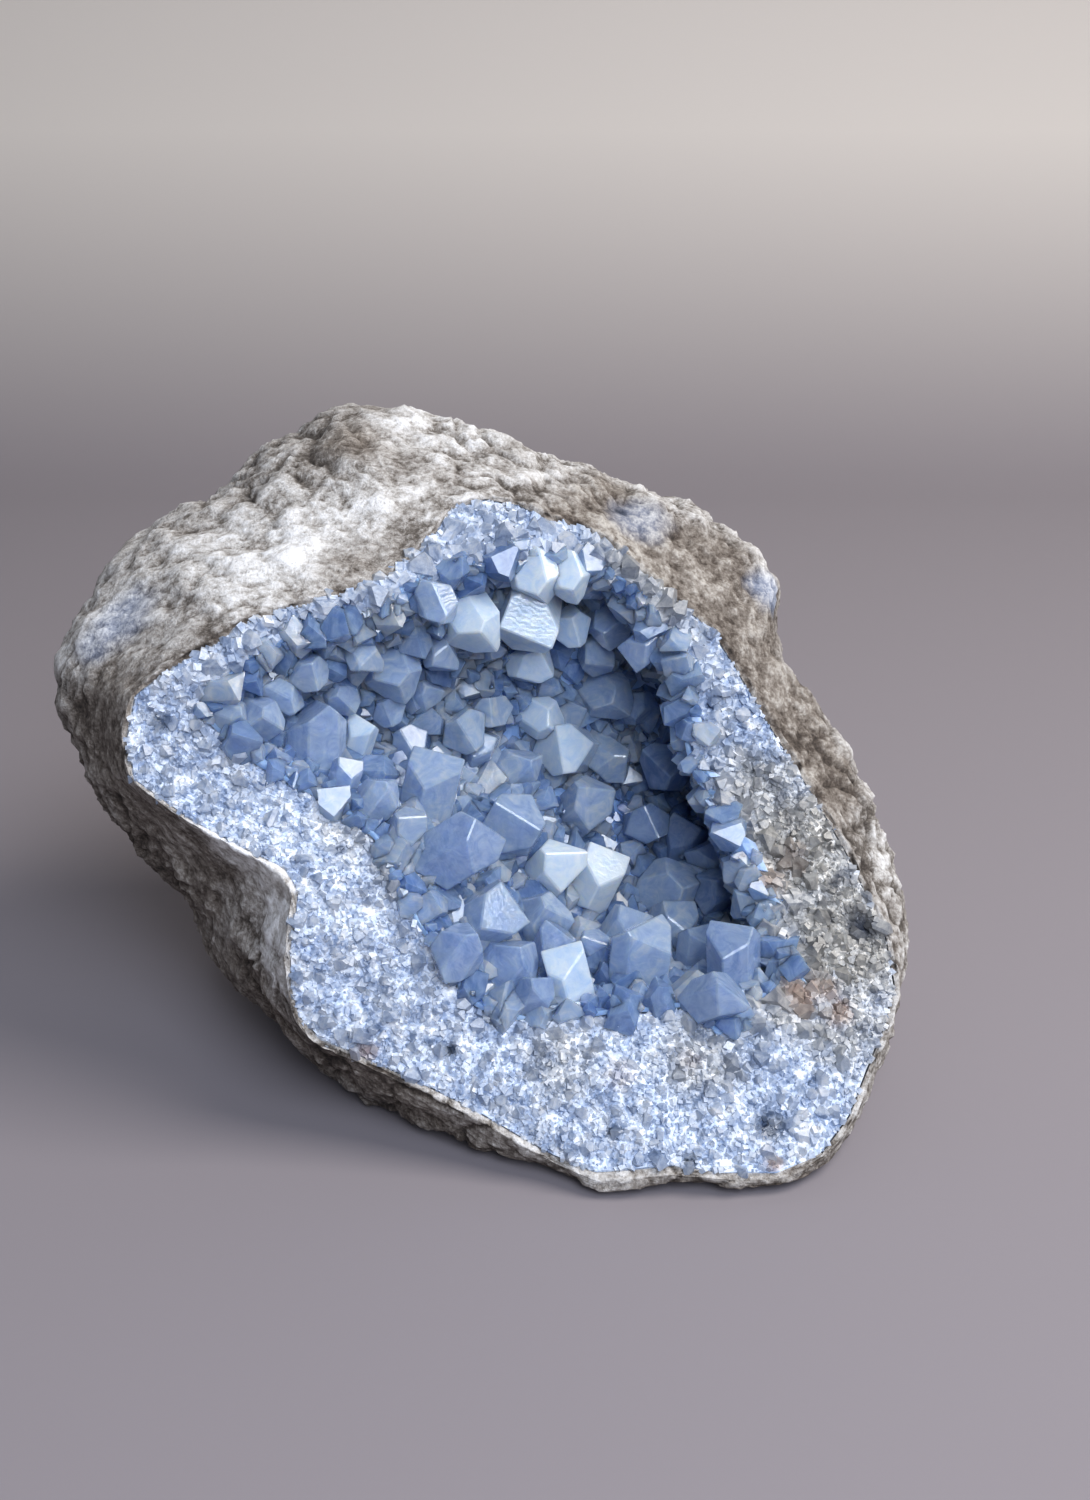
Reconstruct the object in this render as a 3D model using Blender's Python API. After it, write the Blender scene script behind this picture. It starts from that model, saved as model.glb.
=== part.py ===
"""A broken-open celestite geode, lying with its hollow to the front.

Three solids: the limestone rind, the granular celestite band inside it, and the crust of blocky
celestite crystals that lines the hollow. Metres, +Z up, +X to the right and -Y to the front; the
origin is the middle of the footprint, on the surface that the stone rests on.
"""

import math

import bmesh
import bpy
import numpy as np
from mathutils import Matrix, Vector, noise
from mathutils.bvhtree import BVHTree

# The stone was measured from one viewing place in front of it and above it. Outlines are read as
# (column, row, toward): columns run right, rows run down, toward is millimetres nearer to the eye.
STONE_WIDTH = 0.200
WIDTH_IN_COLUMNS = 860
EYE_DISTANCE = 0.467
EYE_PITCH = math.radians(22)
MIDDLE_COLUMN, MIDDLE_ROW = 545, 750
STEP = STONE_WIDTH / WIDTH_IN_COLUMNS
MM = 0.001

RIGHT = Vector((1, 0, 0))
UP = Vector((0, math.sin(EYE_PITCH), math.cos(EYE_PITCH)))
TOWARD = Vector((0, -math.cos(EYE_PITCH), math.sin(EYE_PITCH)))
FLOOR_HEIGHT = -0.075  # the resting surface, below the middle of the view

STATIONS = 60
STATION_CENTRE = (520, 820)
OUTER_STEPS, HOLLOW_STEPS = (3, 3, 4, 4, 2), (1, 2, 1)
UNDER_THE_RIND = slice(None, None, 4)  # the outer rings that the rind's inner side follows
GAP = 0.4 * MM
RIND_THICKNESS, SOLE_THICKNESS, RIND_TAPER = 6 * MM, 2.6 * MM, 25 * MM
EDGE_THICKNESS, EDGE_RELIEF = 0.3, 0.12  # shares of the full ones, at the rind's broken edge
RIND_RELIEF = 4.6 * MM
LUMP_WIDTH, LEDGE_WIDTH, RIDGE_WIDTH = 26 * MM, 34 * MM, 15 * MM
GRAIN_CLUMP = 9 * MM
FACE_RELIEF = ((0.2, 2.6), (0.4, 3.4), (0.6, 3.0), (0.8, 1.0))  # share of the way in, height in mm
FACE_ABOVE_SOLE = 2 * MM
LINING_GAP = 1.1 * MM
LINING_THICKNESS = 2.0 * MM
ROOT_DEPTH = 0.8 * MM

# Clockwise from the left tip. The rind's broken edge follows the celestite's outer border.
RIND_EDGE = [
    (118, 744, 24), (124, 710, 25), (136, 682, 25), (204, 644, 24), (236, 621, 22), (322, 594, 17),
    (368, 582, 14), (396, 562, 10), (420, 550, 8), (434, 522, 2), (458, 498, -4), (505, 492, -8),
    (545, 512, -8), (596, 526, -10), (632, 556, -8), (712, 622, -8), (742, 664, -8), (772, 716, -7),
    (842, 832, 0), (876, 900, 4), (898, 955, 8), (900, 1005, 12), (866, 1096, 23), (848, 1138, 30),
    (822, 1164, 35), (780, 1180, 38), (740, 1182, 39), (700, 1174, 39), (655, 1174, 39),
    (604, 1181, 39), (556, 1164, 36), (455, 1108, 32), (346, 1058, 30), (306, 1040, 29),
    (290, 1010, 30), (284, 965, 33), (290, 920, 34), (290, 880, 33), (258, 862, 31), (210, 834, 29),
    (142, 798, 25), (122, 770, 24),
]
# Where the stone is widest as seen.
SILHOUETTE = [
    (54, 677, -6), (62, 640, -9), (80, 598, -13), (104, 562, -17), (134, 526, -21), (172, 503, -25),
    (208, 491, -28), (250, 446, -33), (292, 437, -35), (318, 417, -37), (352, 405, -38),
    (449, 414, -38), (498, 436, -38), (612, 484, -36), (660, 496, -35), (704, 516, -34),
    (746, 550, -33), (778, 586, -31), (780, 632, -28), (820, 720, -22), (866, 806, -16),
    (905, 915, -8), (914, 956, -4), (910, 992, 0), (886, 1062, 10), (866, 1102, 17), (848, 1146, 26),
    (826, 1170, 32), (792, 1188, 37), (750, 1193, 38), (706, 1184, 37), (672, 1182, 37),
    (600, 1192, 38), (568, 1177, 34), (496, 1154, 26), (406, 1121, 14), (368, 1108, 7),
    (338, 1086, 0), (302, 1047, -6), (230, 975, -12), (194, 926, -14), (151, 871, -12),
    (102, 793, -8), (84, 750, -6), (60, 714, -5),
]
# The inner border of the granular band, where the hollow begins.
MOUTH = [
    (196, 716, 21), (214, 682, 21), (250, 652, 19), (310, 622, 15), (375, 602, 11), (430, 582, 6),
    (470, 560, 1), (530, 548, -3), (580, 556, -7), (620, 584, -9), (655, 620, -11), (678, 668, -10),
    (688, 722, -8), (704, 786, -5), (736, 850, -2), (764, 915, 3), (786, 965, 8), (782, 996, 12),
    (730, 1006, 17), (600, 1018, 24), (520, 1022, 26), (470, 1008, 27), (446, 972, 27),
    (398, 898, 25), (378, 850, 23), (342, 814, 21), (296, 792, 20), (226, 748, 20),
]
REAR_POLE = (470, 760, -86)
HOLLOW_POLE = (640, 775, -52)
STONE_MIDDLE = (480, 800, -25)

# Rings behind the widest outline: their share of it and what the underside loses of that share,
# then their depth in mm and the underside's extra. The rear rings' depth counts from the rear pole.
BROW_SWELL = 0.16  # of the rind's breadth as seen, between its edge and the widest outline
BACK_RING = (0.88, 0.06, -33, -16)
REAR_RING = (0.62, 0.13, 6, 9)
LAST_RING = (0.45, 0, 1, 6)

# Rings down the hollow: their share of the mouth and how many columns the steep side is undercut,
# then their share of the depth and the steep side's extra.
STEEP_SIDE = -20  # degrees
UPPER_WALL = (0.80, 46, 0.25, 0.20)
LOWER_WALL = (0.45, 40, 0.62, 0.22)
HOLLOW_FLOOR = (0.45, 0.6)

# The largest crystals: (column, row, half-length in mm, turn about the growth axis in degrees).
LARGE_CRYSTALS = [
    (585, 900, 9.5, 20), (538, 876, 8.5, 75), (430, 868, 11.0, 35), (420, 806, 9.0, 0),
    (494, 832, 11.0, 55), (556, 752, 10.0, 15), (572, 812, 8.5, 70), (456, 722, 7.5, 30),
    (682, 762, 9.0, 60), (632, 985, 11.0, 45), (668, 940, 8.0, 10), (660, 898, 8.5, 80),
    (738, 990, 11.0, 25), (470, 925, 9.5, 5), (456, 606, 9.0, 40), (520, 590, 12.0, 65),
    (386, 656, 8.0, 20), (246, 722, 7.0, 50), (306, 752, 8.5, 35), (612, 606, 8.0, 10),
    (740, 880, 8.0, 55), (570, 1000, 7.5, 30), (350, 750, 6.5, 0), (520, 660, 7.5, 25),
    (600, 690, 8.0, 50), (700, 700, 7.5, 15), (430, 640, 6.5, 70), (680, 850, 8.0, 35),
    (500, 985, 8.5, 60), (640, 830, 8.0, 20),
]
SMALL_CRYSTALS = 46
SMALL_HALF_LENGTH = 4.4 * MM
DEEP_HALF_LENGTH = 7.2 * MM  # those that grew well away from the mouth
WELL_AWAY = 30 * MM
SMALL_VARIATION = (0.8, 1.25)
RIM_STATIONS = range(-19, 8, 2)  # the roof and the right side, where crystals hang over the mouth
RIM_CRYSTAL = 5 * MM
RIM_VARIATION = (0.85, 1.15)
FACE_VARIATION = (0.84, 1.16)
CROWDING = 0.62  # nearest two roots, as a share of the two half-lengths together
STANDING_OUT = 0.42  # of the half-length, from the root to the crystal's middle
LEAN = 0.38  # spread of the growth directions about square to the wall
STARTS_IN_FRONT, STARTS_SPREAD = 55 * MM, 12 * MM  # of the hollow's pole
CRYSTAL_SEED = 7

# The room that crystals may fill, off the band's broken face.
LIP_CLEARANCE, FACE_CLEARANCE = 1.4 * MM, 2.6 * MM
OVER_THE_FACE = 0.83  # share of the way in from the rind's edge to the mouth
DOME_HEIGHT, DOME_CROWN = 20 * MM, 4 * MM

# Celestite's cell, and the faces that bound its blocky crystals: (h, k, l) and distance from the
# middle, as a share of the half-length. The small crystals show the first four kinds only.
CELL = (8.36, 5.35, 6.87)
FACES = [
    ((0, 0, 1), 0.64), ((2, 1, 0), 0.86), ((2, -1, 0), 0.86), ((0, 1, 1), 0.72), ((0, 1, -1), 0.72),
]


def seen(column, row, toward):
    """The point that is seen at this column and row, and is so many mm nearer than the middle."""
    on_plane = RIGHT * (column - MIDDLE_COLUMN) * STEP + UP * (MIDDLE_ROW - row) * STEP
    nearer = toward * MM / EYE_DISTANCE
    floor = Vector((0, 0, FLOOR_HEIGHT))
    return on_plane * (1 - nearer) + TOWARD * toward * MM - floor


def around(outline):
    """The closed outline as a smooth loop, read at equal angles about the station centre."""
    points = np.array(outline, float)
    before, after, second = (np.roll(points, k, axis=0) for k in (1, -1, -2))
    loop = []
    for t in np.arange(0, 1, 0.1):
        loop.append(0.5 * (2 * points + (after - before) * t
                           + (2 * before - 5 * points + 4 * after - second) * t ** 2
                           + (3 * points - before - 3 * after + second) * t ** 3))
    loop = np.stack(loop, axis=1).reshape(-1, 3)
    across, down = loop[:, 0] - STATION_CENTRE[0], loop[:, 1] - STATION_CENTRE[1]
    angles, reach = np.arctan2(down, across), np.hypot(across, down)
    stations = 2 * math.pi * np.arange(STATIONS) / STATIONS
    reach = np.interp(stations, angles, reach, period=2 * math.pi)
    toward = np.interp(stations, angles, loop[:, 2], period=2 * math.pi)
    return np.stack([STATION_CENTRE[0] + reach * np.cos(stations),
                     STATION_CENTRE[1] + reach * np.sin(stations), toward], axis=1)


def facing(angle_deg):
    """For each station, 1 where it points at this angle on the view, clockwise from the right, and
    0 opposite it."""
    stations = 2 * math.pi * np.arange(STATIONS) / STATIONS
    return (0.5 + 0.5 * np.cos(stations - math.radians(angle_deg)))[:, None]


def along(rings, steps):
    """Rings read along a smooth curve through the given ones, with some steps in each stretch. The
    curve never swings past a ring, however short the stretch before it is."""
    knots = np.array(rings)
    jumps = np.diff(knots, axis=0)
    before, after = jumps[:-1], jumps[1:]
    one_way = before * after > 0
    slopes = np.concatenate([jumps[:1], np.zeros_like(before), jumps[-1:]])
    slopes[1:-1][one_way] = (2 * before * after)[one_way] / (before + after)[one_way]
    made = []
    for k, count in enumerate(steps):
        for t in np.arange(count) / count:
            made.append((1 + 2 * t) * (1 - t) ** 2 * knots[k] + t * (1 - t) ** 2 * slopes[k]
                        + t ** 2 * (3 - 2 * t) * knots[k + 1] + t ** 2 * (t - 1) * slopes[k + 1])
    return [*made, knots[-1]]


def placed(rings):
    """Rings of (column, row, toward) as rings of points in space."""
    return [[seen(*point) for point in ring] for ring in rings]


def moved_in(point, centre, depth):
    return point + (centre - point).normalized() * depth


def outer_rings(edge, widest):
    """From the broken edge round the widest outline to the rear pole."""
    middle, pole = np.array(STONE_MIDDLE, float), np.array(REAR_POLE, float)
    low = facing(90)
    brow = 0.5 * (edge + widest)
    brow[:, 2] += BROW_SWELL * np.hypot(*(edge - widest)[:, :2].T) * STEP / MM
    share, loss, depth, extra = BACK_RING
    back = middle + (widest - middle) * (share - loss * low)
    back[:, 2:] = widest[:, 2:] + depth + extra * low
    share, loss, depth, extra = REAR_RING
    rear = middle + (widest - middle) * (share - loss * low)
    rear[:, 2:] = REAR_POLE[2] + depth + extra * low
    share, loss, depth, extra = LAST_RING
    last = pole + (rear - pole) * (share - loss * low)
    last[:, 2:] = REAR_POLE[2] + depth + extra * low
    return along([edge, brow, widest, back, rear, last], OUTER_STEPS)


def hollow_rings(mouth):
    """From the mouth down the hollow's wall, undercut to the right and above, to near its pole."""
    pole = np.array(HOLLOW_POLE, float)
    steep = facing(STEEP_SIDE)
    out = mouth - pole
    out[:, 2] = 0
    out /= np.linalg.norm(out, axis=1)[:, None]
    walls = []
    for share, undercut, depth, extra in (UPPER_WALL, LOWER_WALL):
        wall = pole + (mouth - pole) * share + out * undercut * steep ** 2
        wall[:, 2:] = mouth[:, 2:] + (pole[2] - mouth[:, 2:]) * (depth + extra * steep)
        walls.append(wall)
    share, depth = HOLLOW_FLOOR
    floor = pole + (walls[-1] - pole) * share
    floor[:, 2:] = walls[-1][:, 2:] * (1 - depth) + pole[2] * depth
    return along([mouth, *walls, floor], HOLLOW_STEPS)


def roughened(point, centre, height):
    """The point pushed out or in by lumps, by ledges and by ridges with sharp crests."""
    lumps = noise.fractal(point / LUMP_WIDTH, 0.9, 2.1, 3)
    ledges = math.tanh(7 * noise.noise(point / LEDGE_WIDTH + Vector((2, 9, 4))))
    ridges = 0.28 - abs(noise.noise(point / RIDGE_WIDTH + Vector((7, 3, 1))))
    return moved_in(point, centre, -height * (0.6 * lumps + 0.3 * ledges + 0.9 * ridges))


def rested(point, lowest):
    return Vector((point.x, point.y, max(point.z, lowest)))


def closed_loft(name, rings, first_pole, last_pole):
    """A closed mesh through the rings, from one pole to the other, in triangles with their
    diagonals all one way, so that two layers made alike stay parallel."""
    mesh = bpy.data.meshes.new(name)
    vertices = [first_pole, *(point for ring in rings for point in ring), last_pole]
    faces = []
    sides = len(rings[0])
    for i in range(sides):
        j = (i + 1) % sides
        faces.append((0, 1 + j, 1 + i))
        for k in range(len(rings) - 1):
            a, b = 1 + k * sides, 1 + (k + 1) * sides
            faces += [(a + i, a + j, b + j), (a + i, b + j, b + i)]
        top = 1 + (len(rings) - 1) * sides
        faces.append((top + i, top + j, len(vertices) - 1))
    mesh.from_pydata(vertices, [], faces)
    bm = bmesh.new()
    bm.from_mesh(mesh)
    bmesh.ops.recalc_face_normals(bm, faces=bm.faces)
    bm.to_mesh(mesh)
    bm.free()
    return mesh


def crystal(half_length, faces, rng):
    """One blocky crystal at the origin, growing along +Z, as a closed convex mesh of flat faces.
    The cell's a axis is the growth axis."""
    bm = bmesh.new()
    bmesh.ops.create_cube(bm, size=6 * half_length)
    for indices, share in faces:
        a, b, c = (index / side for index, side in zip(indices, CELL))
        normal = Vector((b, c, a)).normalized()
        for side in (1, -1):
            distance = half_length * share * rng.uniform(*FACE_VARIATION)
            cut = bmesh.ops.bisect_plane(
                bm, geom=[*bm.verts, *bm.edges, *bm.faces], clear_outer=True,
                plane_co=normal * side * distance, plane_no=normal * side)
            edges = [e for e in cut["geom_cut"] if isinstance(e, bmesh.types.BMEdge)]
            if edges:
                bmesh.ops.contextual_create(bm, geom=edges)
    return bm


def growth_frame(outward, turn):
    """Turns +Z to the growth direction, after a turn about it."""
    return outward.to_track_quat("Z", "Y").to_matrix().to_4x4() @ Matrix.Rotation(turn, 4, "Z")


def crystals_mesh(wall, mouth_points):
    """All crystals on the hollow's wall in one mesh: the large ones where they are seen, then
    smaller ones between them, each about as far from its neighbours as it is wide."""
    rng = np.random.default_rng(CRYSTAL_SEED)
    tree = BVHTree.FromPolygons([v.co for v in wall.vertices], [p.vertices for p in wall.polygons])
    eye = TOWARD * EYE_DISTANCE - Vector((0, 0, FLOOR_HEIGHT))
    middle = seen(*HOLLOW_POLE) + TOWARD * STARTS_IN_FRONT
    roots = []
    for column, row, half_length, turn in LARGE_CRYSTALS:
        sight = (seen(column, row, 0) - eye).normalized()
        spot, normal, _, _ = tree.ray_cast(eye, sight)
        roots.append((spot, normal, half_length * MM, math.radians(turn)))
    mouth_middle = sum(mouth_points, Vector()) / len(mouth_points)
    for k in RIM_STATIONS:
        spot = mouth_points[k]
        overhang = (TOWARD + (mouth_middle - spot).normalized()).normalized()
        half_length = RIM_CRYSTAL * rng.uniform(*RIM_VARIATION)
        roots.append((spot, overhang, half_length, rng.uniform(0, math.pi)))
    while len(roots) < len(LARGE_CRYSTALS) + len(RIM_STATIONS) + SMALL_CRYSTALS:
        direction = Vector(rng.normal(size=3)).normalized()
        start = middle + Vector(rng.normal(size=3)) * STARTS_SPREAD
        spot, normal, _, _ = tree.ray_cast(start, direction)
        if spot is None:
            continue
        to_mouth = min((spot - point).length for point in mouth_points)
        deep = min(1, to_mouth / WELL_AWAY)
        half_length = SMALL_HALF_LENGTH + (DEEP_HALF_LENGTH - SMALL_HALF_LENGTH) * deep
        half_length *= rng.uniform(*SMALL_VARIATION)
        if all((spot - other[0]).length > CROWDING * (half_length + other[2]) for other in roots):
            roots.append((spot, normal, half_length, rng.uniform(0, math.pi)))
    joined = bmesh.new()
    for k, (spot, normal, half_length, turn) in enumerate(roots):
        faces = FACES if k < len(LARGE_CRYSTALS) else FACES[:4]
        if normal.dot(middle - spot) < 0:
            normal = -normal
        lean = Vector(rng.normal(size=3)) * LEAN
        outward = (normal + lean).normalized()
        one = crystal(half_length, faces, rng)
        raised = spot + normal * STANDING_OUT * half_length
        place = Matrix.Translation(raised) @ growth_frame(outward, turn)
        bmesh.ops.transform(one, matrix=place, verts=one.verts)
        piece = bpy.data.meshes.new("crystal")
        one.to_mesh(piece)
        one.free()
        joined.from_mesh(piece)
        bpy.data.meshes.remove(piece)
    mesh = bpy.data.meshes.new("crystals")
    joined.to_mesh(mesh)
    joined.free()
    return mesh


def add_object(name, mesh):
    obj = bpy.data.objects.new(name, mesh)
    bpy.context.scene.collection.objects.link(obj)
    return obj


def boolean(obj, cutter, operation, own_overlaps=False):
    """Joins or cuts at once, and removes the other object."""
    modifier = obj.modifiers.new(operation.lower(), "BOOLEAN")
    modifier.object, modifier.operation = cutter, operation
    modifier.use_self = own_overlaps
    graph = bpy.context.evaluated_depsgraph_get()
    made = bpy.data.meshes.new_from_object(obj.evaluated_get(graph))
    obj.modifiers.clear()
    obj.data = made
    bpy.data.objects.remove(cutter)


def keep_main_shell(obj):
    """Drops the pockets sealed between crystals and any chip cut loose: one closed body stays."""
    bm = bmesh.new()
    bm.from_mesh(obj.data)
    shells, waiting = [], set(bm.verts)
    while waiting:
        shell, edge = set(), [waiting.pop()]
        while edge:
            vertex = edge.pop()
            shell.add(vertex)
            near = {e.other_vert(vertex) for e in vertex.link_edges} & waiting
            waiting -= near
            edge.extend(near)
        shells.append(shell)
    shells.sort(key=len)
    bmesh.ops.delete(bm, geom=[v for shell in shells[:-1] for v in shell], context="VERTS")
    bm.to_mesh(obj.data)
    bm.free()


def merge_flat_faces(obj):
    """Makes one face of the slivers that a joined crystal face is cut into."""
    bm = bmesh.new()
    bm.from_mesh(obj.data)
    bmesh.ops.dissolve_limit(bm, angle_limit=math.radians(0.1), verts=bm.verts, edges=bm.edges)
    bmesh.ops.triangulate(bm, faces=bm.faces)
    bm.to_mesh(obj.data)
    bm.free()


def material(name, colour, roughness):
    made = bpy.data.materials.new(name)
    made.use_nodes = True
    shader = made.node_tree.nodes["Principled BSDF"]
    shader.inputs["Base Color"].default_value = (*colour, 1)
    shader.inputs["Roughness"].default_value = roughness
    return made


def away_from_edge(point, edge, least):
    """From a least share at the rind's broken edge up to 1 where the rind has its full form."""
    return min(1, least + (point - edge).length / RIND_TAPER)


def under_the_rind(outer, centre, gap):
    """Some of the outer rings and the rear pole, moved in by the rind's thickness and this gap. The
    rind thins out towards its broken edge."""
    rings = []
    for ring in outer[UNDER_THE_RIND]:
        moved = []
        for point, edge in zip(ring, outer[0]):
            depth = RIND_THICKNESS * away_from_edge(point, edge, EDGE_THICKNESS) + gap
            moved.append(rested(moved_in(point, centre, depth), SOLE_THICKNESS + gap))
        rings.append(moved)
    return rings, moved_in(seen(*REAR_POLE), centre, RIND_THICKNESS + gap)


def limestone_rind(outer, centre):
    """The weathered outside of the nodule: lumpy and ridged, worn flat where it rests."""
    outside = []
    for ring in outer:
        rough = [roughened(point, centre, RIND_RELIEF * away_from_edge(point, edge, EDGE_RELIEF))
                 for point, edge in zip(ring, outer[0])]
        outside.append([rested(point, 0) for point in rough])
    inside, inside_pole = under_the_rind(outer, centre, 0)
    mesh = closed_loft("limestone_rind", [*outside[::-1], *inside], seen(*REAR_POLE), inside_pole)
    return add_object("limestone_rind", mesh)


def celestite_band(outer, mouth, hollow, centre):
    """The granular celestite between the rind and the hollow, with its broken face."""
    outside, pole = under_the_rind(outer, centre, GAP)
    face = []
    for share, height in FACE_RELIEF:
        ring = [a.lerp(b, share) for a, b in zip(outside[0], mouth)]
        bumpy = [p + TOWARD * height * MM * noise.noise(p / GRAIN_CLUMP) for p in ring]
        face.append([rested(p, SOLE_THICKNESS + FACE_ABOVE_SOLE) for p in bumpy])
    mesh = closed_loft("celestite_band", [*hollow[::-1], *face[::-1], *outside],
                       seen(*HOLLOW_POLE), pole)
    return add_object("celestite_band", mesh)


def off_the_wall(hollow, depth):
    """The hollow's rings and pole moved square off its wall by this depth, into the hollow."""
    pole = seen(*HOLLOW_POLE)
    inside = np.array(pole + TOWARD * 40 * MM)
    grid = np.array([[list(p) for p in ring] for ring in hollow])
    inward = np.gradient(grid, axis=0)
    sideways = np.roll(grid, -1, axis=1) - np.roll(grid, 1, axis=1)
    normals = np.cross(inward, sideways)
    normals /= np.linalg.norm(normals, axis=2)[:, :, None]
    normals[np.sum(normals * (inside - grid), axis=2) < 0] *= -1
    normals += 0.5 * (np.roll(normals, 1, axis=1) + np.roll(normals, -1, axis=1))
    normals[1:-1] += 0.35 * (normals[:-2] + normals[2:])
    normals[-1] += 1.5 * np.array(TOWARD)
    normals /= np.linalg.norm(normals, axis=2)[:, :, None]
    rings = [[Vector(p) for p in ring] for ring in grid + normals * depth]
    return rings, pole + TOWARD * depth


def hollow_lining(hollow):
    """The hollow's wall moved in a little, and back out at the lining's thickness, closed."""
    back, back_pole = off_the_wall(hollow, LINING_GAP)
    front, front_pole = off_the_wall(hollow, LINING_GAP + LINING_THICKNESS)
    rings = [ring[::2] for ring in [*back[::-1], *front]]
    return closed_loft("lining", rings, back_pole, front_pole)


def growing_room(hollow, edge):
    """The space that crystals may fill: the hollow less a little at its wall, and a low dome over
    the mouth that stays clear of the band's face."""
    wall, pole = off_the_wall(hollow, LINING_GAP + ROOT_DEPTH)
    mouth = hollow[0]
    lip = [p + TOWARD * LIP_CLEARANCE for p in mouth]
    over = [a.lerp(b, OVER_THE_FACE) + TOWARD * FACE_CLEARANCE for a, b in zip(edge, mouth)]
    dome = [p + TOWARD * DOME_HEIGHT for p in over]
    top = sum(dome, Vector()) / len(dome) + TOWARD * DOME_CROWN
    return closed_loft("growing_room", [*wall[::-1], lip, over, dome], pole, top)


def crystal_crust(hollow, edge):
    """One crust: a thin lining that follows the hollow's wall, with every crystal grown on it."""
    wall = hollow_lining(hollow)
    crystals = add_object("crystals", crystals_mesh(wall, hollow[0]))
    lining = add_object("crystal_crust", wall)
    room = add_object("room", growing_room(hollow, edge))
    boolean(crystals, room, "INTERSECT", own_overlaps=True)
    boolean(lining, crystals, "UNION")
    keep_main_shell(lining)
    merge_flat_faces(lining)
    return lining


def centre_on_footprint(objects):
    """Moves the meshes together until the footprint's middle is the origin."""
    points = np.array([v.co for obj in objects for v in obj.data.vertices])
    low, high = points.min(axis=0), points.max(axis=0)
    shift = Vector((-(low[0] + high[0]) / 2, -(low[1] + high[1]) / 2, -low[2]))
    for obj in objects:
        obj.data.transform(Matrix.Translation(shift))
    return shift


def main():
    for obj in list(bpy.data.objects):
        bpy.data.objects.remove(obj)
    centre = seen(*STONE_MIDDLE)
    outer = placed(outer_rings(around(RIND_EDGE), around(SILHOUETTE)))
    hollow = placed(hollow_rings(around(MOUTH)))
    mouth = hollow[0]
    rind = limestone_rind(outer, centre)
    band = celestite_band(outer, mouth, hollow, centre)
    crust = crystal_crust(hollow, outer[0])
    rind.data.materials.append(material("weathered_limestone", (0.45, 0.41, 0.36), 0.9))
    band.data.materials.append(material("granular_celestite", (0.60, 0.67, 0.76), 0.6))
    crust.data.materials.append(material("clear_celestite", (0.33, 0.47, 0.70), 0.15))
    return centre_on_footprint([rind, band, crust])


main()
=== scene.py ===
# %% [markdown]
# # A celestite geode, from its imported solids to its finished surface
#
# The stone is a nodule that formed in limestone. Water left celestite inside it, first as a mass of
# sugary grains and then, where there was room, as blocky pale blue crystals. Somebody broke it open.
# Three solids stand for that: the limestone rind, the granular band and the crystal crust. This
# script keeps their places and sizes and gives each of them the surface that the eye expects.

import math

import bmesh
import bpy
import numpy as np
from mathutils import Matrix, Vector, noise
from mathutils.bvhtree import BVHTree


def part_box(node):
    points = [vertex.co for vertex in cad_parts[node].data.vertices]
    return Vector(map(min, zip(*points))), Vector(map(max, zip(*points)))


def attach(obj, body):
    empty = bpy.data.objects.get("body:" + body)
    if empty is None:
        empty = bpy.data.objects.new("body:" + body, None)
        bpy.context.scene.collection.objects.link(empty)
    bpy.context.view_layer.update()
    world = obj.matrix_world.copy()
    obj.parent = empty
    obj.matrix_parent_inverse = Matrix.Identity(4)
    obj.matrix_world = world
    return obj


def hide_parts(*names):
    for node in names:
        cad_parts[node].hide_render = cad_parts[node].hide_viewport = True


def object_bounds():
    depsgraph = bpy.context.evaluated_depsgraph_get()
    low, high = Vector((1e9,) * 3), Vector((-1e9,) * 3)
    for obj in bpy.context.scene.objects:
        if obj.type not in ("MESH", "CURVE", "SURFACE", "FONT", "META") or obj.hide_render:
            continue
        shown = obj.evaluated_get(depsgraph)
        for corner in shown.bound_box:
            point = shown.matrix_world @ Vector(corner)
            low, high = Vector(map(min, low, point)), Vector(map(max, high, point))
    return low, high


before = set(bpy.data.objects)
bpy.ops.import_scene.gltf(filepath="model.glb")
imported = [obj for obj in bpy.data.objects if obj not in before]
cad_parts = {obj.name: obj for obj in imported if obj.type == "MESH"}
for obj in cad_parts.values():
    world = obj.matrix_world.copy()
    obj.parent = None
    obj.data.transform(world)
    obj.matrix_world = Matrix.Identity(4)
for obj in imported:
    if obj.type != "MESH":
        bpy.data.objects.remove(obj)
CAD_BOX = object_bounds()
MM = 0.001
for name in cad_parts:
    low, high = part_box(name)
    print(name, [f"{side / MM:.1f} mm" for side in high - low])

# %% [markdown]
# ## The viewing place
#
# Everything that is placed one by one goes by one camera: it stands in front of the stone and looks down
# at it by 22 degrees. With the camera known, a column and a row of the picture are a line of sight,
# and where that line meets the stone is a place on it. That is how single crystals and stains are
# put where they belong, while they still sit on what carries them, seen from any side.

# %% The camera
PICTURE = (1090, 1500)
EYE = Vector((0.01519, -0.44586, 0.24994))
EYE_DISTANCE = 0.467
PITCH = math.radians(22)
COLUMN_WIDTH = 0.200 / 860  # at EYE_DISTANCE, where the stone's 200 mm fill 860 columns
SENSOR = 36

RIGHT = Vector((1, 0, 0))
UP = Vector((0, math.sin(PITCH), math.cos(PITCH)))
TOWARD = Vector((0, -math.cos(PITCH), math.sin(PITCH)))

camera_data = bpy.data.cameras.new("viewing_place")
camera_data.sensor_width = SENSOR
camera_data.lens = SENSOR * EYE_DISTANCE / (COLUMN_WIDTH * PICTURE[1])
camera_data.clip_start = 10 * MM
camera = bpy.data.objects.new("viewing_place", camera_data)
camera.matrix_world = Matrix.Translation(EYE) @ Matrix((RIGHT, UP, TOWARD)).transposed().to_4x4()
bpy.context.scene.collection.objects.link(camera)
bpy.context.scene.camera = camera
print(f"lens {camera_data.lens:.1f} mm")


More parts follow.
